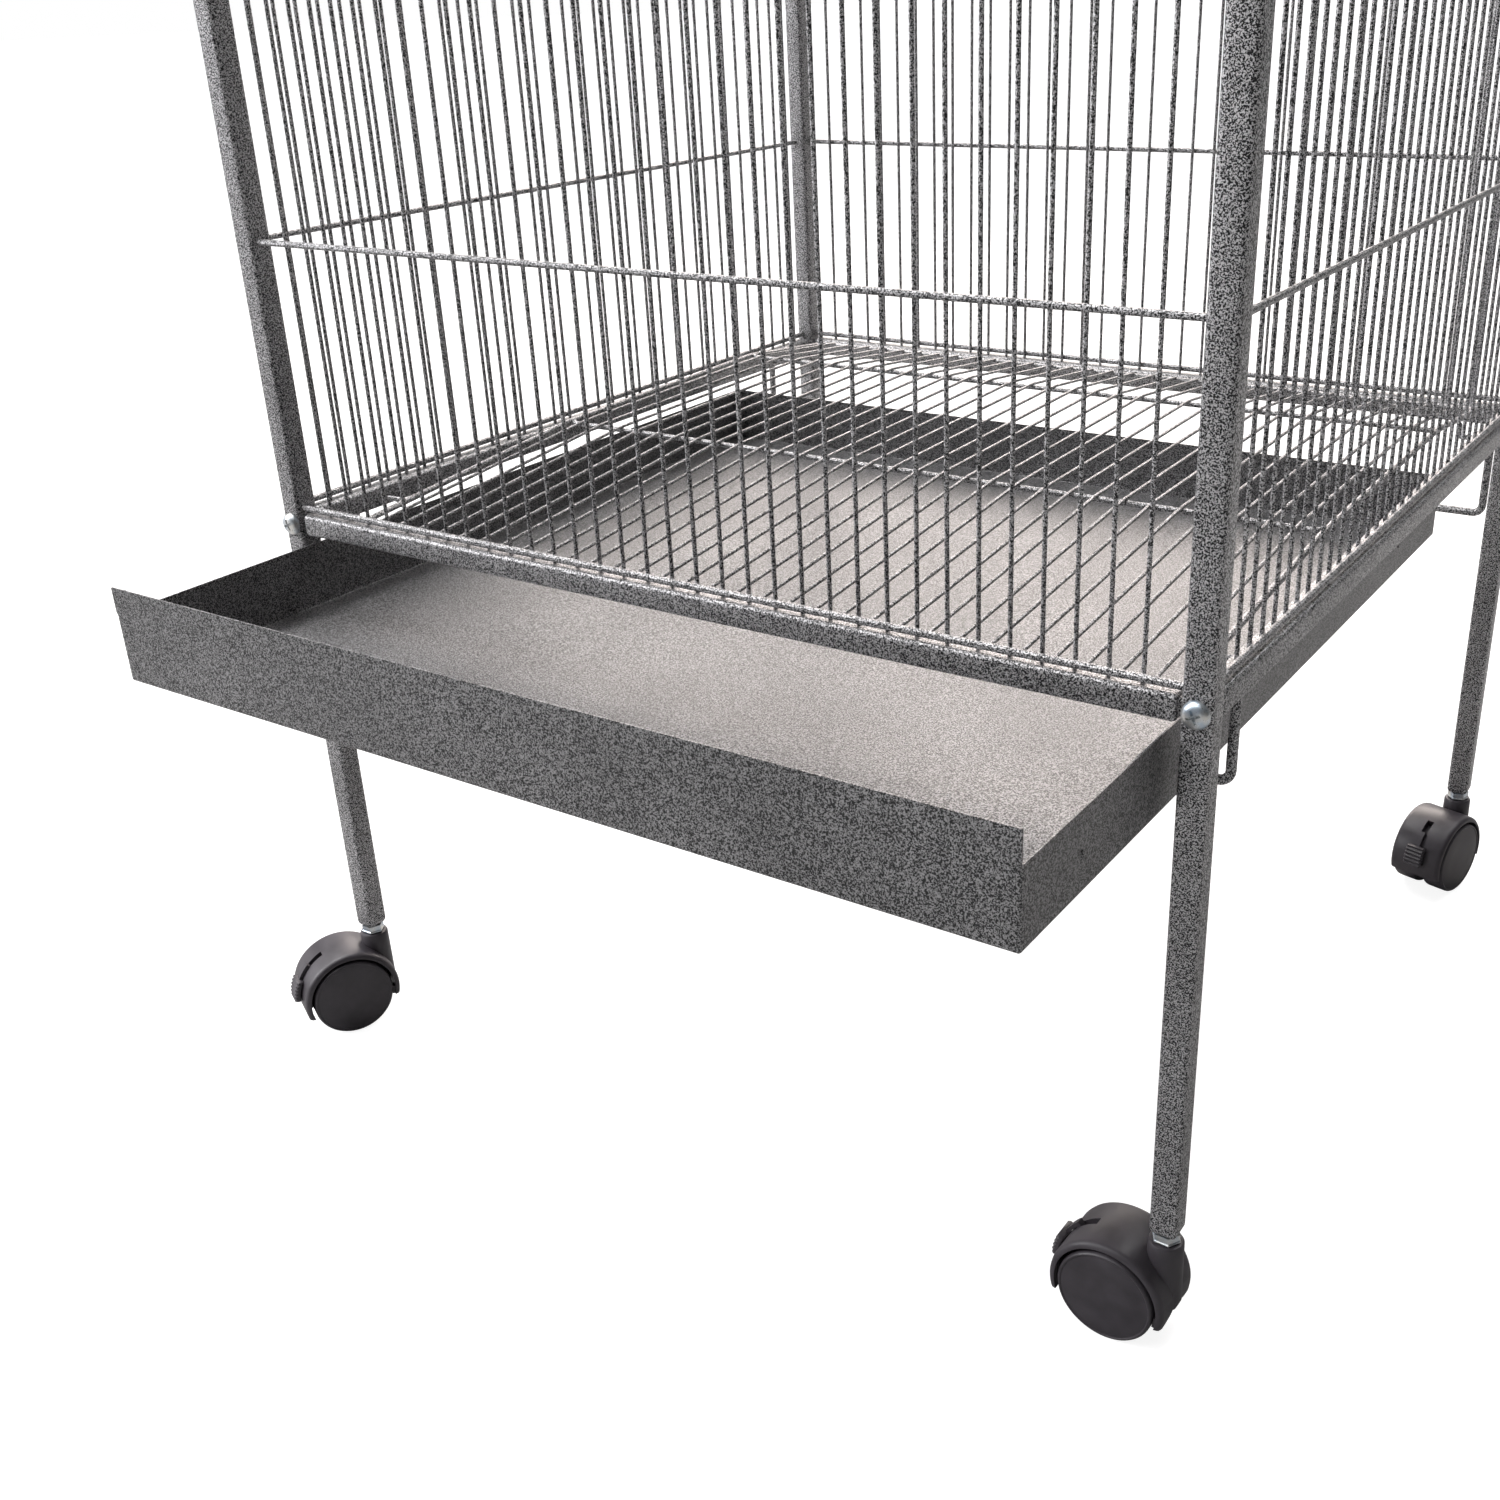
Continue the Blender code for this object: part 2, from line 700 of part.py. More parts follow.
# ---------------------------------------------------------------- assembly
def main():
    clear_scene()
    coat = make_material("hammered_coat", (0.11, 0.115, 0.12), 0.35, 0.42)
    zinc = make_material("zinc_plate", (0.62, 0.65, 0.7), 1.0, 0.28)
    plastic = make_material("black_plastic", (0.03, 0.03, 0.033), 0.0, 0.5)

    for corner, (sx, sy) in CORNERS.items():
        add_object(f"post_{corner}", post_with_holes(sx, sy), coat)
        add_object(f"post_plug_{corner}", plug_mesh(sx, sy), plastic)
        add_object(f"screw_base_{corner}", screw_mesh(sx, sy, BASE_Z), zinc, True)
        add_object(f"screw_top_{corner}", screw_mesh(sx, sy, TOP_Z), zinc, True)

    span = WIDTH - 2 * POST - 2 * GAP
    for level, z, top_round in (("base", BASE_Z, 3.0), ("top", TOP_Z, 1.2)):
        for side, sy in (("front", -1), ("back", 1)):

            def place(s, a, b, sy=sy, z=z):
                return (s, sy * POST_Y + a, z + b)

            add_object(f"rail_{level}_{side}", rail_mesh(span, place, top_round), coat)
        for side, sx in (("left", -1), ("right", 1)):
            mesh = side_rail(sx, z, level == "base")
            add_object(f"rail_{level}_{side}", mesh, coat)

    add_object("panel_front", front_panel(), coat)
    add_object("panel_back", back_panel(), coat)
    add_object("panel_roof", roof_mesh(), coat)
    for side, sx in (("left", -1), ("right", 1)):
        add_object(f"panel_{side}", side_panel(sx), coat)

    add_object("floor_grate", grate_mesh(), coat)
    add_object("tray", tray_mesh(), coat)
    for side, y in zip(("front", "back"), RUNNER_Y):
        add_object(f"tray_runner_{side}", runner_mesh(y), coat)

    hinged = []
    door_at = (-(DOOR_HALF + DOOR_LAP), -(DEPTH / 2 - DOOR_OUT), (DOOR_LOW + DOOR_HIGH) / 2)
    hinged.append((add_object("door_front", front_door(), coat), door_at))
    latch_at = (DOOR_HALF + PITCH_X, -(DEPTH / 2), (DOOR_LOW + DOOR_HIGH) / 2)
    hinged.append((add_object("door_latch", latch_mesh(), zinc), latch_at))
    for side, sx in (("left", -1), ("right", 1)):
        middle = ((HATCH_FROM + HATCH_TO) / 2 - (WIRES - 1) / 2) * PITCH_Y
        at = (sx * (WIDTH / 2 - DOOR_OUT), middle, HATCH_HIGH + DOOR_LAP)
        hinged.append((add_object(f"door_feeder_{side}", side_door(sx), coat), at))
    for obj, at in hinged:
        obj.data.transform(Matrix.Translation(-metres(at)))
        obj.matrix_world = Matrix.Translation(metres(at))

    meshes = {
        "hood": hood_mesh(),
        "wheel_left": wheel_mesh(1),
        "wheel_right": wheel_mesh(-1),
        "brake_tab": brake_mesh(),
        "stem": stem_mesh(),
    }
    materials = {part: plastic for part in meshes}
    materials["stem"] = zinc
    for corner in CORNERS:
        caster(corner, meshes, materials)

    shift = Matrix.Translation(metres((-ORIGIN[0], -ORIGIN[1], 0)))
    for obj in bpy.data.objects:
        obj.matrix_world = shift @ obj.matrix_world
    for mesh in list(bpy.data.meshes):
        if mesh.users == 0:
            bpy.data.meshes.remove(mesh)


main()
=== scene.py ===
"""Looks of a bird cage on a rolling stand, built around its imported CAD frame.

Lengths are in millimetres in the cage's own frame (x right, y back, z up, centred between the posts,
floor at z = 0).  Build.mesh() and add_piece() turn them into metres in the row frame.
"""

import json
import math
import random

import bmesh
import bpy
from mathutils import Matrix, Vector


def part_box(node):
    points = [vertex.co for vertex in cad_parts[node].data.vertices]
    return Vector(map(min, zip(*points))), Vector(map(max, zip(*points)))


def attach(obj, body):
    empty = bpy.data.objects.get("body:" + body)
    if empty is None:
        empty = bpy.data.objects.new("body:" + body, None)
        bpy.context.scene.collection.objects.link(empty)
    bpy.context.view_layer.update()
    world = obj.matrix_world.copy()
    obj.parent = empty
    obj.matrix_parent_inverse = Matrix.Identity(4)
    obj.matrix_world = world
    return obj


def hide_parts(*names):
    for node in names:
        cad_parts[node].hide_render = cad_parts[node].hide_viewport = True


MM = 0.001
CORNERS = {"front_left": (-1, -1), "front_right": (1, -1), "back_left": (-1, 1), "back_right": (1, 1)}

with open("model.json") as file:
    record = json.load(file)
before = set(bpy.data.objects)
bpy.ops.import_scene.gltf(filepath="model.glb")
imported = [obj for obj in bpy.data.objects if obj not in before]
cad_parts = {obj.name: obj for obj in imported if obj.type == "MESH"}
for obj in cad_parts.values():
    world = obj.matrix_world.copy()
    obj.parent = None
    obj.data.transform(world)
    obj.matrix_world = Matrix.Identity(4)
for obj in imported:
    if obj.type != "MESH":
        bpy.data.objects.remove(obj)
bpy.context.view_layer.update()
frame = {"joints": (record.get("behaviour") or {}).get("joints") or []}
joints = {joint["name"]: joint for joint in frame["joints"]}


# ---------------------------------------------------------------- what the frame says
def cage_centre():
    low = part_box("post_front_left")[0]
    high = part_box("post_back_right")[1]
    return Vector(((low.x + high.x) / 2, (low.y + high.y) / 2, 0))


CENTRE = cage_centre()


def local(point):
    return (Vector(point) - CENTRE) / MM


def span(node):
    """Lowest and highest corner of a CAD node, in cage millimetres."""
    low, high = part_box(node)
    return local(low), local(high)


POST_LOW, POST_HIGH = span("post_back_right")
HALF_X = POST_HIGH.x
HALF_Y = POST_HIGH.y
POST = POST_HIGH.x - POST_LOW.x
POST_X = HALF_X - POST / 2
POST_Y = HALF_Y - POST / 2
BASE_LOW, BASE_HIGH = span("rail_base_front")
TOP_LOW, TOP_HIGH = span("rail_top_front")
BACK_LOW, BACK_HIGH = span("panel_back")
LATTICE = HALF_Y - (BACK_LOW.y + BACK_HIGH.y) / 2
INNER_X = HALF_X - POST
INNER_Y = HALF_Y - POST

# ---------------------------------------------------------------- tubes and wires
TUBE_WALL = 1.2
TUBE_ROUND = 2.2
STEM_HOLE_R = 4.2
RAIL_HALF_W = 5.5
RAIL_ROUND_LOW = 1.3
RAIL_ROUND_HIGH = 1.9
LEDGE_Y = 185.0
HOOK_X = 231.0
HOOK_Z = 303.0
WIRES = 33
PITCH_X = 14.0
PITCH_Y = 13.65
WIRE_R = 1.0
CROSS_R = 1.5
FOOT_R = 1.75
FOOT_Z = BASE_HIGH.z + 2.9
HEAD_Z = TOP_LOW.z - 3.0
MID_Z = (446.6, 896.0)
UPRIGHT_DEPTH = LATTICE + 1.1
CROSS_DEPTH = LATTICE - 1.5
SWAY = 0.45


# ---------------------------------------------------------------- mesh building
class Build:
    """Collects closed surfaces in cage millimetres and makes one object of them."""

    def __init__(self):
        self.points = []
        self.faces = []

    def loft(self, rings, capped=True, round_trip=False):
        first = len(self.points)
        size = len(rings[0])
        for ring in rings:
            self.points.extend(Vector(p) for p in ring)
        count = len(rings)
        for i in range(count if round_trip else count - 1):
            a, b = first + i * size, first + (i + 1) % count * size
            for j in range(size):
                k = (j + 1) % size
                self.faces.append((a + j, a + k, b + k, b + j))
        if capped and not round_trip:
            self.faces.append(tuple(first + j for j in reversed(range(size))))
            self.faces.append(tuple(first + (count - 1) * size + j for j in range(size)))
        return self

    def wire(self, path, radius, sides=8, loop=False, domed=False):
        path = [Vector(p) for p in path]
        count = len(path)
        tangents = []
        for i in range(count):
            before = path[i - 1] if loop or i else path[0]
            after = path[(i + 1) % count] if loop or i < count - 1 else path[-1]
            tangents.append((after - before).normalized())
        side = tangents[0].orthogonal().normalized()
        rings = []
        for point, tangent in zip(path, tangents):
            side = (side - tangent * side.dot(tangent)).normalized()
            up = tangent.cross(side)
            rings.append((point, tangent, side.copy(), up))

        def ring(point, side, up, r):
            turns = (2 * math.pi * k / sides for k in range(sides))
            return [point + (side * math.cos(a) + up * math.sin(a)) * r for a in turns]

        made = [ring(p, s, u, radius) for p, _, s, u in rings]
        if domed and not loop:
            p, t, s, u = rings[0]
            made.insert(0, ring(p - t * radius * 0.55, s, u, radius * 0.55))
            p, t, s, u = rings[-1]
            made.append(ring(p + t * radius * 0.55, s, u, radius * 0.55))
        return self.loft(made, round_trip=loop)

    def turn(self, profile, at, segments=32):
        """A closed profile of (radius, height) turned about at's own height axis."""
        loops = []
        for i in range(segments):
            angle = 2 * math.pi * i / segments
            c, s = math.cos(angle), math.sin(angle)
            loops.append([at(r * c, r * s, h) for r, h in profile])
        return self.loft(loops, round_trip=True)

    def mesh(self, name, weld=0.0):
        bm = bmesh.new()
        made = [bm.verts.new(p * MM) for p in self.points]
        for face in self.faces:
            bm.faces.new([made[i] for i in face])
        if weld:
            bmesh.ops.remove_doubles(bm, verts=bm.verts, dist=weld * MM)
        bmesh.ops.recalc_face_normals(bm, faces=bm.faces)
        data = bpy.data.meshes.new(name)
        bm.to_mesh(data)
        bm.free()
        return data


def add_piece(name, mesh, body, finish, replaced, matrix=None, angle=34):
    """An object of that mesh (metres, cage frame) that rides on a CAD body."""
    if matrix is not None:
        mesh.transform(matrix)
    mesh.transform(Matrix.Translation(CENTRE))
    mesh.materials.clear()
    mesh.materials.append(finish)
    mesh.shade_smooth()
    mesh.set_sharp_from_angle(angle=math.radians(angle))
    piece = bpy.data.objects.new(name, mesh)
    bpy.context.scene.collection.objects.link(piece)
    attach(piece, body)
    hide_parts(replaced)
    return piece


def with_modifiers(mesh, *steps):
    """The mesh after modifiers, each given as (type, {setting: value})."""
    scratch = bpy.data.objects.new("scratch", mesh)
    bpy.context.scene.collection.objects.link(scratch)
    for kind, settings in steps:
        modifier = scratch.modifiers.new(kind.lower(), kind)
        for setting, value in settings.items():
            setattr(modifier, setting, value)
    graph = bpy.context.evaluated_depsgraph_get()
    made = bpy.data.meshes.new_from_object(scratch.evaluated_get(graph))
    bpy.data.objects.remove(scratch)
    return made


def cleaned(mesh):
    """The mesh with the doubled points that a Boolean leaves made one, and no loose edges."""
    bm = bmesh.new()
    bm.from_mesh(mesh)
    bmesh.ops.remove_doubles(bm, verts=bm.verts, dist=0.004 * MM)
    bmesh.ops.dissolve_degenerate(bm, edges=bm.edges, dist=0.004 * MM)
    bmesh.ops.delete(bm, geom=[e for e in bm.edges if not e.link_faces], context="EDGES")
    bm.to_mesh(mesh)
    bm.free()
    return mesh


def cut(mesh, *tools):
    """The mesh after Booleans, each given as (operation, tool mesh)."""
    made = cleaned(mesh)
    for operation, tool in tools:
        helper = bpy.data.objects.new("tool", cleaned(tool))
        bpy.context.scene.collection.objects.link(helper)
        boolean = {"operation": operation, "object": helper, "solver": "EXACT"}
        made = cleaned(with_modifiers(made, ("BOOLEAN", boolean)))
        bpy.data.objects.remove(helper)
    return made


def corner_path(points, radius, steps=5, loop=False):
    """The path with each corner rounded to an arc."""
    points = [Vector(p) for p in points]
    count = len(points)
    path = []
    for i, corner in enumerate(points):
        if not loop and i in (0, count - 1):
            path.append(corner)
            continue
        u = (points[i - 1] - corner).normalized()
        v = (points[(i + 1) % count] - corner).normalized()
        half = u.angle(v) / 2
        centre = corner + (u + v).normalized() * radius / math.sin(half)
        start = corner + u * radius / math.tan(half) - centre
        end = corner + v * radius / math.tan(half) - centre
        turn = start.angle(end)
        for k in range(steps + 1):
            t = k / steps
            mixed = start * math.sin((1 - t) * turn) + end * math.sin(t * turn)
            path.append(centre + mixed / math.sin(turn))
    return path


def rounded_outline(half_w, half_h, r_low, r_high, steps=4):
    """Points round a rectangle whose lower and upper corners have their own radii."""
    corners = ((1, -1, r_low, -90), (1, 1, r_high, 0), (-1, 1, r_high, 90), (-1, -1, r_low, 180))
    outline = []
    for sx, sy, radius, start in corners:
        for k in range(steps + 1):
            angle = math.radians(start + 90 * k / steps)
            x = sx * (half_w - radius) + radius * math.cos(angle)
            y = sy * (half_h - radius) + radius * math.sin(angle)
            outline.append((x, y))
    return outline


# ---------------------------------------------------------------- materials
def new_material(name, slot):
    material = bpy.data.materials.new(name)
    material.use_nodes = True
    material["slot"] = slot
    tree = material.node_tree
    shader = tree.nodes["Principled BSDF"]
    coords = tree.nodes.new("ShaderNodeTexCoord")
    return material, tree, shader, coords.outputs["Object"]


def noise(tree, vector, scale, detail=2.0, distortion=0.0):
    node = tree.nodes.new("ShaderNodeTexNoise")
    node.inputs["Scale"].default_value = scale
    node.inputs["Detail"].default_value = detail
    node.inputs["Distortion"].default_value = distortion
    tree.links.new(vector, node.inputs["Vector"])
    return node.outputs["Fac"]


def ranged(tree, value, low, high, to_low, to_high):
    node = tree.nodes.new("ShaderNodeMapRange")
    node.inputs["From Min"].default_value = low
    node.inputs["From Max"].default_value = high
    node.inputs["To Min"].default_value = to_low
    node.inputs["To Max"].default_value = to_high
    tree.links.new(value, node.inputs["Value"])
    return node.outputs["Result"]


def mixed(tree, factor, first, second, blend="MIX"):
    node = tree.nodes.new("ShaderNodeMix")
    node.data_type = "RGBA"
    node.blend_type = blend
    for socket, value in ((node.inputs[6], first), (node.inputs[7], second)):
        if isinstance(value, tuple):
            socket.default_value = (*value, 1.0)
        else:
            tree.links.new(value, socket)
    if isinstance(factor, float):
        node.inputs[0].default_value = factor
    else:
        tree.links.new(factor, node.inputs[0])
    return node.outputs[2]


def bumped(tree, shader, height, strength, distance):
    node = tree.nodes.new("ShaderNodeBump")
    node.inputs["Strength"].default_value = strength
    node.inputs["Distance"].default_value = distance
    tree.links.new(height, node.inputs["Height"])
    tree.links.new(node.outputs["Normal"], shader.inputs["Normal"])


def hammered_coat(name, light):
    """Charcoal powder coat with a maze of pale grey flecks under a millimetre wide."""
    material, tree, shader, where = new_material(name, "hammered_coat")
    middle, half = 0.518, 0.022
    fleck = noise(tree, where, 1650.0, 0.8, 0.9)
    fleck = ranged(tree, fleck, middle - half, middle + half, 0.0, 1.0)
    cloud = ranged(tree, noise(tree, where, 16.0, 2.0), 0.3, 0.7, 0.8, 1.0)
    dark = (0.005, 0.005, 0.006)
    base = mixed(tree, fleck, dark, tuple(light * tint for tint in (1.0, 0.985, 1.0)))
    shade = tree.nodes.new("ShaderNodeCombineColor")
    for channel in ("Red", "Green", "Blue"):
        tree.links.new(cloud, shade.inputs[channel])
    tree.links.new(mixed(tree, 1.0, base, shade.outputs[0], "MULTIPLY"), shader.inputs["Base Color"])
    tree.links.new(ranged(tree, fleck, 0.0, 1.0, 0.05, 0.6), shader.inputs["Metallic"])
    tree.links.new(ranged(tree, fleck, 0.0, 1.0, 0.40, 0.50), shader.inputs["Roughness"])
    shader.inputs["Specular IOR Level"].default_value = 0.4
    shader.inputs["Coat Weight"].default_value = 0.12
    shader.inputs["Coat Roughness"].default_value = 0.3
    bumped(tree, shader, fleck, 0.3, 0.0001)
    return material


def zinc_plate():
    material, tree, shader, where = new_material("zinc_plate", "zinc_plate")
    tint = ranged(tree, noise(tree, where, 160.0, 3.0), 0.35, 0.65, 0.0, 1.0)
    base = mixed(tree, tint, (0.50, 0.58, 0.66), (0.70, 0.69, 0.66))
    tree.links.new(base, shader.inputs["Base Color"])
    shader.inputs["Metallic"].default_value = 0.9
    grain = noise(tree, where, 2400.0, 2.0)
    tree.links.new(ranged(tree, grain, 0.3, 0.7, 0.26, 0.42), shader.inputs["Roughness"])
    bumped(tree, shader, grain, 0.08, 0.00004)
    return material


def black_plastic():
    material, tree, shader, where = new_material("black_plastic", "black_plastic")
    cloud = ranged(tree, noise(tree, where, 70.0, 4.0), 0.35, 0.7, 0.0, 1.0)
    base = mixed(tree, cloud, (0.036, 0.031, 0.037), (0.062, 0.055, 0.064))
    tree.links.new(base, shader.inputs["Base Color"])
    tree.links.new(ranged(tree, cloud, 0.0, 1.0, 0.38, 0.52), shader.inputs["Roughness"])
    bumped(tree, shader, noise(tree, where, 3000.0, 2.0), 0.12, 0.00005)
    return material


COAT = hammered_coat("tube_coat", 0.68)
SHEET_COAT = hammered_coat("sheet_coat", 0.38)
ZINC = zinc_plate()
PLASTIC = black_plastic()


# ---------------------------------------------------------------- posts and rails
def post_piece(corner, sx, sy):
    low, high = span(f"post_{corner}")
    cx, cy = sx * POST_X, sy * POST_Y
    half = POST / 2
    rings = []
    for z, inset, radius in (
        (low.z, 1.5, 1.0),
        (low.z + 0.5, 0.8, 1.5),
        (low.z + 1.8, 0.15, 2.0),
        (low.z + 3.0, 0.0, TUBE_ROUND),
        (high.z, 0.0, TUBE_ROUND),
    ):
        outline = rounded_outline(half - inset, half - inset, radius, radius)
        rings.append([(cx + x, cy + y, z) for x, y in outline])
    inner = rounded_outline(half - TUBE_WALL, half - TUBE_WALL, 1.0, 1.0)
    rings.append([(cx + x, cy + y, high.z) for x, y in inner])
    rings.append([(cx + x, cy + y, high.z - 12.0) for x, y in inner])
    hole = []
    for x, y, _ in rings[0]:
        angle = math.atan2(y - cy, x - cx)
        hole.append((cx + STEM_HOLE_R * math.cos(angle), cy + STEM_HOLE_R * math.sin(angle), low.z))
    rings.insert(0, hole)
    rings.insert(0, [(x, y, low.z + 6.0) for x, y, _ in hole])
    mesh = Build().loft(rings).mesh("post")
    add_piece(f"tube_{corner}", mesh, "frame", COAT, f"post_{corner}")


def plug_piece(corner, sx, sy):
    low, high = span(f"post_plug_{corner}")
    cx, cy = sx * POST_X, sy * POST_Y
    half = POST / 2
    rings = []
    for z, inset, radius in (
        (low.z, 1.6, 1.0),
        (high.z - 3.7, 1.6, 1.0),
        (high.z - 3.6, 0.0, 2.0),
        (high.z - 1.6, 0.05, 2.0),
        (high.z - 0.6, 0.7, 2.2),
        (high.z - 0.1, 2.0, 2.0),
        (high.z, 3.4, 1.6),
    ):
        outline = rounded_outline(half - inset, half - inset, radius, radius)
        rings.append([(cx + x, cy + y, z) for x, y in outline])
    add_piece(f"cap_{corner}", Build().loft(rings).mesh("cap"), "frame", PLASTIC, f"post_plug_{corner}")


def rail_piece(level, side):
    """A rail with a smaller plug at each end, so that a dark gap shows beside the post."""
    low, high = span(f"rail_{level}_{side}")
    along_x = side in ("front", "back")
    sign = -1 if side in ("front", "left") else 1
    end = (high.x - low.x if along_x else high.y - low.y) / 2
    centre = sign * (POST_Y if along_x else POST_X)
    middle = (BASE_LOW.z + BASE_HIGH.z) / 2 if level == "base" else (TOP_LOW.z + TOP_HIGH.z) / 2
    half_h = (BASE_HIGH.z - BASE_LOW.z) / 2
    outline = rounded_outline(RAIL_HALF_W, half_h, RAIL_ROUND_LOW, RAIL_ROUND_HIGH)
    rings = []
    ends = ((0.0, 0.58), (1.7, 0.58), (1.8, 0.80), (2.1, 0.90), (2.7, 0.97), (3.6, 1.0))
    steps = [(-end + a, s) for a, s in ends] + [(end - a, s) for a, s in reversed(ends)]
    for s, size in steps:
        ring = []
        for a, b in outline:
            a, b = a * size, middle + b * (0.25 + 0.75 * size)
            ring.append((s, centre + a, b) if along_x else (centre + a, s, b))
        rings.append(ring)
    build = Build().loft(rings)
    if level == "base" and not along_x:
        for y in (-LEDGE_Y, LEDGE_Y):
            hook(build, sign, y)
    add_piece(f"bar_{level}_{side}", build.mesh("bar"), "frame", COAT, f"rail_{level}_{side}")


def hook(build, sign, y):
    """A bent wire under the grate, welded to the side rail."""
    top = grate_height(y) - 1.5 - CROSS_R
    wall = sign * (POST_X - 5.0)
    inner = sign * HOOK_X
    path = corner_path([(wall, y, HOOK_Z), (inner, y, HOOK_Z), (inner, y, top)], 2.0)
    build.wire(path, CROSS_R, domed=True)


# ---------------------------------------------------------------- wire panels
def front_place(s, depth, z):
    return Vector((s, -(HALF_Y - depth), z))


def back_place(s, depth, z):
    return Vector((s, HALF_Y - depth, z))


def left_place(s, depth, z):
    return Vector((-(HALF_X - depth), s, z))


def right_place(s, depth, z):
    return Vector((HALF_X - depth, s, z))


def upright(build, place, s, low, high, rng, depth=UPRIGHT_DEPTH, sway=SWAY):
    """One thin wire with the slight bow that a real one has."""
    first, second = rng.uniform(-sway, sway), rng.uniform(-sway, sway) * 0.6
    steps = max(3, round((high - low) / 90))
    path = []
    for k in range(steps + 1):
        t = k / steps
        bow = first * math.sin(math.pi * t) + second * math.sin(2 * math.pi * t)
        path.append(place(s + bow, depth, low + (high - low) * t))
    build.wire(path, WIRE_R, 8)


def cross_wire(build, place, low, high, z, depth=CROSS_DEPTH, radius=CROSS_R):
    steps = max(1, round(abs(high - low) / 80))
    path = [place(low + (high - low) * k / steps, depth, z) for k in range(steps + 1)]
    build.wire(path, radius, 10, domed=True)


def opening_of(node, along, lap=4.5):
    low, high = span(node)
    return low[along] + lap, high[along] - lap, low.z + lap, high.z - lap


def panel_piece(side, place, pitch, reach, mids, body_node, opening=None, eyes=()):
    rng = random.Random(f"panel {side}")
    build = Build()
    bottom, top = BASE_HIGH.z - 0.4, TOP_LOW.z + 0.4
    for index in range(WIRES):
        s = (index - (WIRES - 1) / 2) * pitch
        if opening and opening[0] + 2 < s < opening[1] - 2:
            upright(build, place, s, bottom, opening[2] + 1.0, rng)
            upright(build, place, s, opening[3] - 1.0, top, rng)
        else:
            upright(build, place, s, bottom, top, rng)
    for z, radius in ((FOOT_Z, FOOT_R), (HEAD_Z, FOOT_R), *((mid, CROSS_R) for mid in mids)):
        cross_wire(build, place, -reach, reach, z, radius=radius)
    if opening:
        for z in (opening[2], opening[3]):
            if all(abs(z - mid) > 1 for mid in mids):
                cross_wire(build, place, opening[0] - 1.2, opening[1] + 1.2, z)
    for loop in eyes:
        build.wire(loop, 0.9, 8, loop=True)
    add_piece(f"wires_{side}", build.mesh("wires"), "frame", COAT, body_node)


def ring_path(centre, axis, radius, steps=14):
    axis = Vector(axis).normalized()
    u = axis.orthogonal().normalized()
    v = axis.cross(u)
    turns = (2 * math.pi * k / steps for k in range(steps))
    return [Vector(centre) + (u * math.cos(a) + v * math.sin(a)) * radius for a in turns]


def hinge_eyes(axis_point, axis, offsets, toward):
    """Wire rings round a door's hinge wire, each touching the panel's wire beside it."""
    centre = Vector(axis_point) + Vector(toward)
    eyes = []
    for offset in offsets:
        for shift in (-1.0, 1.0):
            eyes.append(ring_path(centre + Vector(axis) * (offset + shift), axis, 2.9))
    return eyes


def door_piece(name, node, body, place, along, depth, pitch, mids):
    low, high = span(node)
    inset = 1.5
    s0, s1 = low[along] + inset, high[along] - inset
    z0, z1 = low.z + inset, high.z - inset
    rng = random.Random(name)
    build = Build()
    corners = [place(s0, depth, z0), place(s1, depth, z0), place(s1, depth, z1), place(s0, depth, z1)]
    build.wire(corner_path(corners, 2.6, 4, loop=True), 1.4, 10, loop=True)
    first, last = math.ceil((s0 + 5) / pitch), math.floor((s1 - 5) / pitch)
    for index in range(first, last + 1):
        upright(build, place, index * pitch, z0, z1, rng, depth, 0.15)
    for z in mids:
        cross_wire(build, place, s0, s1, z, depth, 1.2)
    return add_piece(name, build.mesh("door"), body, COAT, node)


def roof_piece():
    low, high = span("panel_roof")
    z = (low.z + high.z) / 2
    rng = random.Random("roof")
    build = Build()
    for index in range(WIRES):
        x = (index - (WIRES - 1) / 2) * PITCH_X
        first = rng.uniform(-SWAY, SWAY)
        path = []
        for k in range(9):
            t = k / 8
            y = low.y - 0.4 + (high.y - low.y + 0.8) * t
            path.append((x + first * math.sin(math.pi * t), y, z + 0.9))
        build.wire(path, WIRE_R, 8)
    for y in (low.y + 3.0, 0.0, high.y - 3.0):
        build.wire([(low.x - 0.4, y, z - 1.3), (0, y, z - 1.3), (high.x + 0.4, y, z - 1.3)], CROSS_R, 10)
    add_piece("wires_roof", build.mesh("roof"), "frame", COAT, "panel_roof")


# ---------------------------------------------------------------- floor grate
GRATE_LOW, GRATE_HIGH = span("floor_grate")
GRATE_PITCH = 14.5
GRATE_WIRES = 31
GRATE_MID = (GRATE_LOW.x + GRATE_HIGH.x) / 2
GRATE_KINKS = (-49.0, 137.5)
GRATE_PROFILE = (
    (GRATE_LOW.y, GRATE_LOW.z + 1.2),
    (GRATE_KINKS[0], 315.5),
    (GRATE_KINKS[1], GRATE_HIGH.z - 1.2),
    (GRATE_HIGH.y, 309.0),
)


def grate_height(y):
    for (y0, z0), (y1, z1) in zip(GRATE_PROFILE, GRATE_PROFILE[1:]):
        if y <= y1:
            return z0 + (z1 - z0) * (y - y0) / (y1 - y0)
    return GRATE_PROFILE[-1][1]


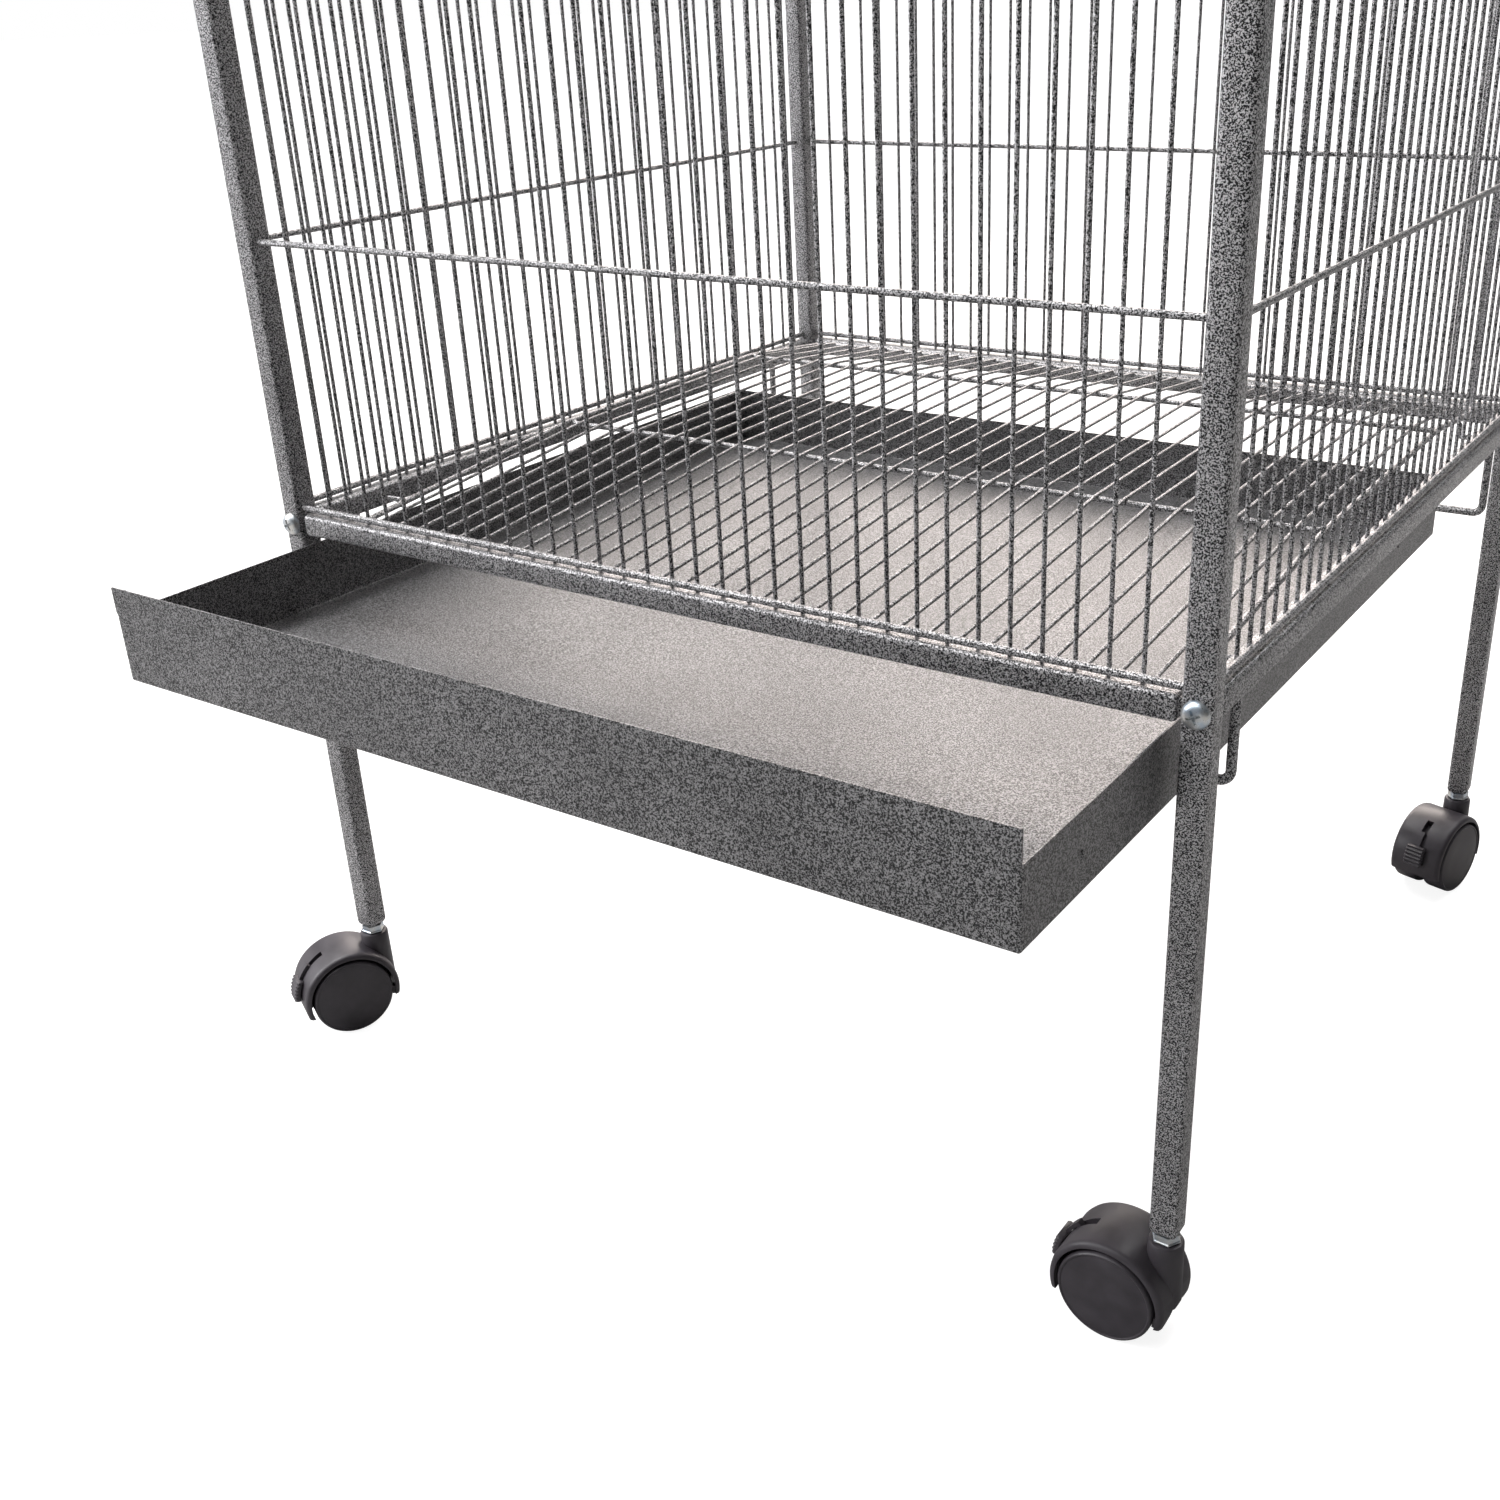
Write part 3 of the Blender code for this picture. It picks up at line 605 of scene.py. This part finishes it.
def grate_piece():
    rng = random.Random("grate")
    build = Build()
    front, back = GRATE_LOW.y + 1.6, GRATE_HIGH.y - 1.6
    for index in range(GRATE_WIRES):
        x = GRATE_MID + (index - (GRATE_WIRES - 1) / 2) * GRATE_PITCH
        bow = rng.uniform(-0.5, 0.5)
        path = []
        for y in (front, -180, -115, -55, -49, -43, 20, 80, 131.5, 137.5, 143.5, 185, back):
            t = (y - front) / (back - front)
            path.append((x + bow * math.sin(math.pi * t), y, grate_height(y) + 1.1))
        build.wire(path, 0.95, 8)
    left, right = GRATE_LOW.x + 1.6, GRATE_HIGH.x - 1.6
    rim = []
    for x, y in ((left, front), (right, front), (right, back), (left, back)):
        rim.append((x, y, grate_height(y) - 0.2))
    sides = []
    for y in GRATE_KINKS:
        sides.append((right, y, grate_height(y) - 0.2))
    outline = [rim[0], rim[1], *sides, rim[2], rim[3]]
    outline += [(left, y, grate_height(y) - 0.2) for y in reversed(GRATE_KINKS)]
    build.wire(corner_path(outline, 7.0, 5, loop=True), 1.6, 10, loop=True)
    for y in GRATE_KINKS:
        z = grate_height(y) - 0.9
        ends = [(left, y + 9, z + 0.4), (left, y, z), (right, y, z), (right, y + 9, z + 0.4)]
        build.wire(corner_path(ends, 6.0, 5), CROSS_R, 10, domed=True)
    add_piece("grate", build.mesh("grate"), "grate", COAT, "floor_grate")


# ---------------------------------------------------------------- tray and runners
TRAY_LOW, TRAY_HIGH = span("tray")
SHEET_T = 0.8
TRAY_SIDE = 33.5


def tray_piece():
    x0, x1, y0, y1 = TRAY_LOW.x, TRAY_HIGH.x, TRAY_LOW.y, TRAY_HIGH.y
    z0 = TRAY_LOW.z
    xs = [x0, x0 + 8, x0 + 9.5, x0 + 11]
    xs += [x0 + 20 + (x1 - x0 - 28) * k / 20 for k in range(21)] + [x1]
    ys = [y0, y0 + 10] + [y0 + 10 + (y1 - y0 - 20) * k / 20 for k in range(1, 21)] + [y1]
    side_z = [z0 + h for h in (6.0, 15.0, 25.0, TRAY_SIDE)]
    front_z = side_z + [TRAY_HIGH.z - 3.0, TRAY_HIGH.z]
    bm = bmesh.new()
    made = {}

    def vert(x, y, z):
        key = (round(x, 3), round(y, 3), round(z, 3))
        if key not in made:
            made[key] = bm.verts.new(sheet_point(*key) * MM)
        return made[key]

    def quads(first, second, at):
        for a, b in zip(first, first[1:]):
            for c, d in zip(second, second[1:]):
                bm.faces.new([vert(*at(a, c)), vert(*at(b, c)), vert(*at(b, d)), vert(*at(a, d))])

    quads(xs, ys, lambda a, b: (a, b, z0))
    quads(xs, [z0] + front_z, lambda a, b: (a, y0, b))
    quads(xs, [z0] + side_z, lambda a, b: (a, y1, b))
    quads(ys, [z0] + side_z, lambda a, b: (x0, a, b))
    quads(ys, [z0] + side_z, lambda a, b: (x1, a, b))
    bmesh.ops.recalc_face_normals(bm, faces=bm.faces)
    if sum(f.normal.z for f in bm.faces if abs(f.normal.z) > 0.9) > 0:
        bmesh.ops.reverse_faces(bm, faces=bm.faces)
    folds = [e for e in bm.edges if len(e.link_faces) == 2 and e.calc_face_angle() > 1.0]
    bmesh.ops.bevel(bm, geom=folds, offset=1.1 * MM, segments=3, profile=0.5, affect="EDGES")
    data = bpy.data.meshes.new("tray")
    bm.to_mesh(data)
    bm.free()
    solid = ("SOLIDIFY", {"thickness": SHEET_T * MM, "offset": -1.0, "use_even_offset": True})
    mesh = with_modifiers(data, solid)
    bumps = Build()
    for x, y, z, side in ((x1, -315.0, 277.0, 1), (x1, 60.0, 277.0, 1), (x0, -254.0, 270.0, -1)):
        dimple(bumps, x, y, z, side)
    joined = bmesh.new()
    joined.from_mesh(mesh)
    joined.from_mesh(bumps.mesh("bumps"))
    joined.to_mesh(mesh)
    joined.free()
    add_piece("tray_sheet", mesh, "tray", SHEET_COAT, "tray", angle=40)


def sheet_point(x, y, z):
    """The folded sheet is never quite flat: its floor sags and its walls bow a little."""
    u = (x - TRAY_LOW.x) / (TRAY_HIGH.x - TRAY_LOW.x)
    v = (y - TRAY_LOW.y) / (TRAY_HIGH.y - TRAY_LOW.y)
    inner = math.sin(math.pi * u) * math.sin(math.pi * v)
    ripple = 0.35 * math.sin(7 * u + 2 * v) * math.sin(5 * v + u)
    lift = (0.9 * inner + ripple * inner) if z <= TRAY_LOW.z + 0.01 else 0.0
    height = (z - TRAY_LOW.z) / TRAY_SIDE
    if abs(x - TRAY_LOW.x - 9.5) < 0.01 and y == round(TRAY_LOW.y, 3) and height > 0.1:
        y += 0.3
    return Vector((x, y, z + lift))


def dimple(build, x, y, z, side):
    """A small pressed bump on a side wall, taller than it is wide, seen from both sides."""
    rings = []
    for size, rise in ((1.0, -0.6), (1.0, 0.0), (0.8, 0.45), (0.45, 0.8), (0.1, 0.9)):
        ring = []
        for k in range(12):
            angle = 2 * math.pi * k / 12
            across_wall, up_wall = 1.3 * size * math.cos(angle), 2.4 * size * math.sin(angle)
            ring.append((x + side * rise, y + across_wall, z + up_wall))
        rings.append(ring)
    build.loft(rings)


def runner_piece(side):
    low, high = span(f"tray_runner_{side}")
    y = (low.y + high.y) / 2
    radius = (high.y - low.y) / 2
    left, right, bottom = low.x + radius, high.x - radius, low.z + radius
    top = high.z + 0.4
    corners = [(left, y, top), (left, y, bottom), (right, y, bottom), (right, y, top)]
    path = corner_path(corners, 5.0, 6)
    build = Build().wire(path, radius, 14)
    add_piece(f"runner_{side}", build.mesh("runner"), "frame", COAT, f"tray_runner_{side}")


# ---------------------------------------------------------------- screws and latch
def screw_mesh():
    """A pan-head screw with a cross recess, head towards -y, its face on the tube at y = 0."""
    profile = [(0.0, 3.35), (1.6, 3.3), (3.2, 3.05), (4.5, 2.5), (5.3, 1.7), (5.7, 0.8), (5.75, 0.15)]
    profile += [(5.6, 0.0), (2.3, 0.0), (2.3, -3.0), (0.0, -3.0)]
    head = Build().turn(profile, lambda x, y, h: (x, -h, y), 36).mesh("screw", 0.01)
    tools = []
    for turn in (0.4, 0.4 + math.pi / 2):
        wing = Build()
        rings = []
        for depth, length, width in ((4.0, 3.2, 0.62), (2.2, 2.6, 0.50), (1.4, 1.0, 0.3)):
            c, s = math.cos(turn), math.sin(turn)
            ring = []
            for a, b in ((1, 1), (-1, 1), (-1, -1), (1, -1)):
                u, v = a * length, b * width
                ring.append((u * c - v * s, -depth, u * s + v * c))
            rings.append(ring)
        tools.append(("DIFFERENCE", wing.loft(rings).mesh("wing")))
    return cut(head, *tools)


def screw_pieces():
    pattern = screw_mesh()
    for level in ("base", "top"):
        for corner, (sx, sy) in CORNERS.items():
            low, high = span(f"screw_{level}_{corner}")
            at = Vector((sx * POST_X, sy * HALF_Y, (low.z + high.z) / 2)) * MM
            matrix = Matrix.Translation(at)
            if sy > 0:
                matrix = matrix @ Matrix.Rotation(math.pi, 4, "Z")
            name = f"screw_{level}_{corner}"
            add_piece(f"head_{level}_{corner}", pattern.copy(), "frame", ZINC, name, matrix, 30)


def latch_piece():
    low = span("door_latch")[0]
    pivot = local(joints["door_latch_turn"]["pos_m"])
    build = Build()
    face = low.y + 1.4
    rivet = ((0, 0), (2.6, 0.1), (4.4, 0.7), (5.0, 1.6), (4.9, 2.4), (2.4, 2.4), (2.4, 8.4), (0, 8.4))
    build.turn([(r, h) for r, h in rivet], lambda x, y, h: (pivot.x + x, low.y + h, pivot.z + y), 28)
    outline = []
    for k in range(13):
        angle = math.pi * k / 12
        outline.append((4.0 * math.cos(angle), 3.2 * math.sin(angle)))
    for x, z in ((-4.0, -26.0), (-3.4, -31.0), (-1.5, -35.2), (1.5, -35.2), (3.4, -31.0), (4.0, -26.0)):
        outline.append((x, z))
    rings = []
    for y, size in ((face - 0.2, 0.9), (face, 1.0), (face + 1.4, 1.0), (face + 1.6, 0.9)):
        rings.append([(pivot.x + x * size, y, pivot.z + z * (0.98 + size * 0.02)) for x, z in outline])
    build.loft(rings)
    add_piece("latch", build.mesh("latch", 0.001), "door_latch", ZINC, "door_latch")


# ---------------------------------------------------------------- casters (local: +x towards the brake)
WHEEL_R = local(joints["caster_front_left_roll_left"]["pos_m"]).z
HOOD_R = 27.5
HOOD_HALF = 16.4
LIP_AT = 13.4
STEM_TOP = span("caster_front_left_stem")[1].z


def across(x, y, h):
    """Turned about the axle: the profile's height runs along the caster's width."""
    return (x, h, y + WHEEL_R)


def arc_block(r0, r1, a0, a1, half, steps, shift=0.0):
    """A block bent round the axle from angle a0 to a1, moved along the axle by shift."""
    rings = []
    for k in range(steps + 1):
        angle = math.radians(a0 + (a1 - a0) * k / steps)
        c, s = math.cos(angle), math.sin(angle)
        ring = []
        for r, y in ((r0, -half), (r1, -half), (r1, half), (r0, half)):
            ring.append((r * c, y + shift, WHEEL_R + r * s))
        rings.append(ring)
    return Build().loft(rings)


def wave_cutter(side, height, wave):
    """Below a skirt, with an edge that rises in the middle, between the wheels."""
    rings = []
    for k in range(25):
        y = -24 + 2 * k
        rise = wave * math.exp(-((y / 5.5) ** 2))
        x0, x1 = (-0.05, 45.0) if side > 0 else (-45.0, 0.05)
        top = height + rise
        rings.append([(x0, y, -6.0), (x1, y, -6.0), (x1, y, top), (x0, y, top)])
    return Build().loft(rings).mesh("cutter")


def hood_mesh(trail):
    def stem(x, y, h):
        return (x - trail, y, h)

    edge = HOOD_HALF
    rim = [(0, -edge), (24.9, -edge), (26.2, -edge + 0.35), (27.1, -edge + 1.3), (HOOD_R, -edge + 2.8)]
    shell = rim + [(HOOD_R, 0.0)] + [(r, -h) for r, h in reversed(rim)]
    well = ((0, 2.6), (23.2, 2.6), (24.5, 3.9), (24.5, 20.0), (0, 20.0))
    far_well = [(r, -h) for r, h in well]
    socket = ((0, 20), (8.3, 20), (8.0, 46.0), (7.9, 52.4), (7.3, 53.4), (6.4, 53.6), (0, 53.6))
    bore = ((0, 33.6), (4.1, 33.6), (4.1, 60.0), (0, 60.0))
    axle = ((0, -14.2), (3.0, -14.2), (3.0, 14.2), (0, 14.2))
    drum = Build().turn(shell, across, 72).mesh("shell", 0.001)
    made = cut(
        drum,
        ("UNION", Build().turn(socket, stem, 40).mesh("socket", 0.001)),
        ("DIFFERENCE", Build().turn(well, across, 60).mesh("well", 0.001)),
        ("DIFFERENCE", Build().turn(far_well, across, 60).mesh("far_well", 0.001)),
        ("UNION", Build().turn(axle, across, 24).mesh("axle", 0.001)),
        ("DIFFERENCE", wave_cutter(1, 15.6, 0.0)),
        ("DIFFERENCE", wave_cutter(-1, 16.4, 5.5)),
        ("UNION", arc_block(23.1, 26.7, 183.0, 195.0, 2.0, 4, LIP_AT).mesh("far_lip")),
        ("UNION", arc_block(23.1, 26.7, 183.0, 195.0, 2.0, 4, -LIP_AT).mesh("near_lip")),
        ("DIFFERENCE", arc_block(23.0, 30.0, 36.0, 66.0, 2.1, 8).mesh("slot")),
        ("DIFFERENCE", Build().turn(bore, stem, 24).mesh("bore", 0.001)),
    )
    return made


def wheel_mesh(side):
    profile = [(3.3, 3.2), (21.6, 3.2), (22.5, 3.6), (WHEEL_R, 4.6), (WHEEL_R, 15.2), (22.65, 16.0)]
    profile += [(22.3, 16.6), (21.9, 16.9), (21.4, 16.95), (21.1, 16.7), (20.8, 16.6), (20.4, 16.7)]
    profile += [(12.0, 16.9), (5.0, 17.0), (0.0, 17.05), (0.0, 14.6), (3.3, 14.6)]
    return Build().turn([(r, side * h) for r, h in profile], across, 72).mesh("wheel", 0.001)


def brake_mesh():
    """A ribbed foot paddle, its neck and the tongue that goes into the hood's slot."""
    build = Build()
    rings = []
    steps = 48
    for k in range(steps + 1):
        t = k / steps
        angle = math.radians(1.0 + 26.0 * t)
        from_end = min(t, 1 - t) * 7
        end = math.sqrt(max(0.0, 1 - (1 - from_end) ** 2)) if from_end < 1 else 1.0
        half = 6.0 * (0.72 + 0.28 * end)
        outer = 28.4 + 3.2 * (0.55 + 0.45 * end) - 0.8 * (0.5 + 0.5 * math.cos(t * 2 * math.pi * 6))
        inner = 27.9
        c, s = math.cos(angle), math.sin(angle)
        section = ((inner, -half + 0.5), (inner + 0.6, -half), (outer - 0.9, -half), (outer, -half + 0.9))
        outline = list(section) + [(r, -y) for r, y in reversed(section)]
        rings.append([(r * c, y, WHEEL_R + r * s) for r, y in outline])
    build.loft(rings)
    mesh = build.mesh("paddle")
    neck = arc_block(27.9, 29.6, 26.0, 46.0, 1.7, 6).mesh("neck")
    tip = arc_block(23.6, 29.6, 40.0, 46.0, 1.7, 3).mesh("tip")
    return cut(mesh, ("UNION", neck), ("UNION", tip))


def stem_mesh(trail):
    build = Build()

    def at(x, y, h):
        return (x - trail, y, h)

    top = STEM_TOP
    nut = ((0, 53.8), (5.9, 53.8), (6.6, 54.4), (6.6, 54.9), (6.2, 55.3), (6.2, top - 0.1), (0, top - 0.1))
    shaft = [(0, 34.0), (3.4, 34.0), (3.4, 54.0)]
    shaft += [(3.9 if k % 2 else 3.4, top - 0.2 + 0.5 * k) for k in range(10)] + [(0, top + 4.6)]
    build.turn(nut, at, 6)
    build.turn(shaft, at, 24)
    return build.mesh("stem", 0.001)


def caster_pieces():
    stem_at = local(joints["caster_front_left_swivel"]["pos_m"])
    axle_at = local(joints["caster_front_left_roll_left"]["pos_m"])
    trail = (Vector(axle_at[:2]) - Vector(stem_at[:2])).length
    meshes = {
        "hood": (hood_mesh(trail), "swivel", PLASTIC, 32),
        "wheel_left": (wheel_mesh(1), "wheel_left", PLASTIC, 30),
        "wheel_right": (wheel_mesh(-1), "wheel_right", PLASTIC, 30),
        "brake_tab": (brake_mesh(), "brake", PLASTIC, 32),
        "stem": (stem_mesh(trail), None, ZINC, 30),
    }
    for corner in CORNERS:
        stem = local(joints[f"caster_{corner}_swivel"]["pos_m"])
        axle = local(joints[f"caster_{corner}_roll_left"]["pos_m"])
        heading = math.atan2(axle.y - stem.y, axle.x - stem.x)
        at = Vector((axle.x, axle.y, 0)) * MM
        matrix = Matrix.Translation(at) @ Matrix.Rotation(heading, 4, "Z")
        for part, (mesh, body, finish, angle) in meshes.items():
            body = f"caster_{corner}_{body}" if body else "frame"
            node = f"caster_{corner}_{part}"
            add_piece(f"{part}_{corner}", mesh.copy(), body, finish, node, matrix, angle)


# ---------------------------------------------------------------- stage, lights and camera
FLOOR_GREY = 0.35
FLOOR_GLOW = 0.88


def stage():
    """A floor that looks white to the camera and lights the object from below only faintly."""
    bm = bmesh.new()
    bmesh.ops.create_circle(bm, cap_ends=True, segments=96, radius=30.0)
    data = bpy.data.meshes.new("floor")
    bm.to_mesh(data)
    bm.free()
    floor = bpy.data.objects.new("floor", data)
    bpy.context.scene.collection.objects.link(floor)
    material = bpy.data.materials.new("pale_floor")
    material.use_nodes = True
    tree = material.node_tree
    shader = tree.nodes["Principled BSDF"]
    path = tree.nodes.new("ShaderNodeLightPath")
    glow = ranged(tree, path.outputs["Is Camera Ray"], 0.0, 1.0, 0.0, FLOOR_GLOW)
    tree.links.new(glow, shader.inputs["Emission Strength"])
    shader.inputs["Base Color"].default_value = (FLOOR_GREY, FLOOR_GREY, FLOOR_GREY, 1)
    shader.inputs["Emission Color"].default_value = (1, 1, 1, 1)
    shader.inputs["Roughness"].default_value = 0.9
    shader.inputs["Specular IOR Level"].default_value = 0.1
    data.materials.append(material)


def area_light(name, at, target, size, power, colour):
    data = bpy.data.lights.new(name, "AREA")
    data.shape = "RECTANGLE"
    data.size, data.size_y = size
    data.energy = power
    data.color = colour
    light = bpy.data.objects.new(name, data)
    bpy.context.scene.collection.objects.link(light)
    light.location = at
    light.rotation_euler = (Vector(target) - Vector(at)).to_track_quat("-Z", "Y").to_euler()
    light.visible_camera = False


def lights():
    world = bpy.data.worlds.new("studio")
    bpy.context.scene.world = world
    world.use_nodes = True
    tree = world.node_tree
    background = tree.nodes["Background"]
    background.inputs["Color"].default_value = (1.0, 1.0, 1.0, 1)
    path = tree.nodes.new("ShaderNodeLightPath")
    where = tree.nodes.new("ShaderNodeTexCoord")
    toward = tree.nodes.new("ShaderNodeVectorMath")
    toward.operation = "DOT_PRODUCT"
    toward.inputs[1].default_value = (-0.85, 0.4, 0.0)
    tree.links.new(where.outputs["Generated"], toward.inputs[0])
    glow = ranged(tree, toward.outputs["Value"], -0.75, 0.85, 0.05, 0.52)
    blend = tree.nodes.new("ShaderNodeMix")
    tree.links.new(path.outputs["Is Camera Ray"], blend.inputs[0])
    tree.links.new(glow, blend.inputs[2])
    blend.inputs[3].default_value = 1.0
    tree.links.new(blend.outputs[0], background.inputs["Strength"])
    middle = (0.0, -0.1, 0.4)
    sun = bpy.data.lights.new("sky", "SUN")
    sun.energy = 2.6
    sun.angle = math.radians(60)
    lamp = bpy.data.objects.new("sky", sun)
    bpy.context.scene.collection.objects.link(lamp)
    lamp.rotation_euler = Vector((-0.42, -0.30, 0.86)).to_track_quat("Z", "Y").to_euler()
    area_light("back", (-1.1, 2.4, 1.7), middle, (2.6, 1.5), 95, (1.0, 0.90, 0.84))
    area_light("left", (-2.4, -1.6, 1.4), middle, (1.2, 1.6), 50, (0.97, 0.97, 1.0))
    area_light("fold", (0.45, 0.85, 1.9), (-0.2, -0.3, 0.26), (0.5, 0.4), 10, (1.0, 1.0, 1.0))
    area_light("above", (-1.3, 0.2, 2.4), middle, (0.9, 0.6), 30, (1.0, 1.0, 1.0))


def camera():
    data = bpy.data.cameras.new("camera")
    data.lens = 39.356
    data.shift_x = -0.0412
    data.shift_y = -0.0149
    data.clip_start = 0.01
    made = bpy.data.objects.new("camera", data)
    bpy.context.scene.collection.objects.link(made)
    made.location = CENTRE + Vector((442.85, -770.61, 556.69)) * MM
    made.rotation_euler = [math.radians(a) for a in (65.17, 2.16, 33.86)]
    bpy.context.scene.camera = made
    bpy.context.scene.view_settings.view_transform = "Standard"


# ---------------------------------------------------------------- assembly
def tube_frame():
    for corner, (sx, sy) in CORNERS.items():
        post_piece(corner, sx, sy)
        plug_piece(corner, sx, sy)
    for level in ("base", "top"):
        for side in ("front", "back", "left", "right"):
            rail_piece(level, side)
    screw_pieces()


def front_and_back_panels():
    door = opening_of("door_front", 0)
    hinge = local(joints["door_front_hinge"]["pos_m"])
    eyes = hinge_eyes(hinge, (0, 0, 1), (-110.0, 110.0), (0.6, 0.9, 0))
    front_mids = (MID_Z[0], door[2], door[3])
    panel_piece("front", front_place, PITCH_X, INNER_X + 0.2, front_mids, "panel_front", door, eyes)
    panel_piece("back", back_place, PITCH_X, INNER_X + 0.2, MID_Z, "panel_back")


def side_panel_and_door(side, place, sign):
    node = f"door_feeder_{side}"
    hinge = local(joints[f"{node}_hinge"]["pos_m"])
    eyes = hinge_eyes(hinge, (0, 1, 0), (-35.0, 35.0), (-0.9 * sign, 0, -0.6))
    panel_piece(side, place, PITCH_Y, INNER_Y + 0.2, MID_Z, f"panel_{side}", opening_of(node, 1), eyes)
    low, high = span(node)
    mids = (low.z + (high.z - low.z) / 2,)
    door_piece(f"feeder_door_{side}", node, node, place, 1, HALF_X - abs(hinge.x), PITCH_Y, mids)


def front_door():
    low, high = span("door_front")
    mids = [low.z + (high.z - low.z) * k / 3 for k in (1, 2)]
    hinge = local(joints["door_front_hinge"]["pos_m"])
    door_piece("door", "door_front", "door_front", front_place, 0, HALF_Y + hinge.y, PITCH_X, mids)


def main():
    tube_frame()
    front_and_back_panels()
    side_panel_and_door("left", left_place, -1)
    side_panel_and_door("right", right_place, 1)
    front_door()
    roof_piece()
    grate_piece()
    tray_piece()
    runner_piece("front")
    runner_piece("back")
    latch_piece()
    caster_pieces()
    stage()
    lights()
    camera()


main()
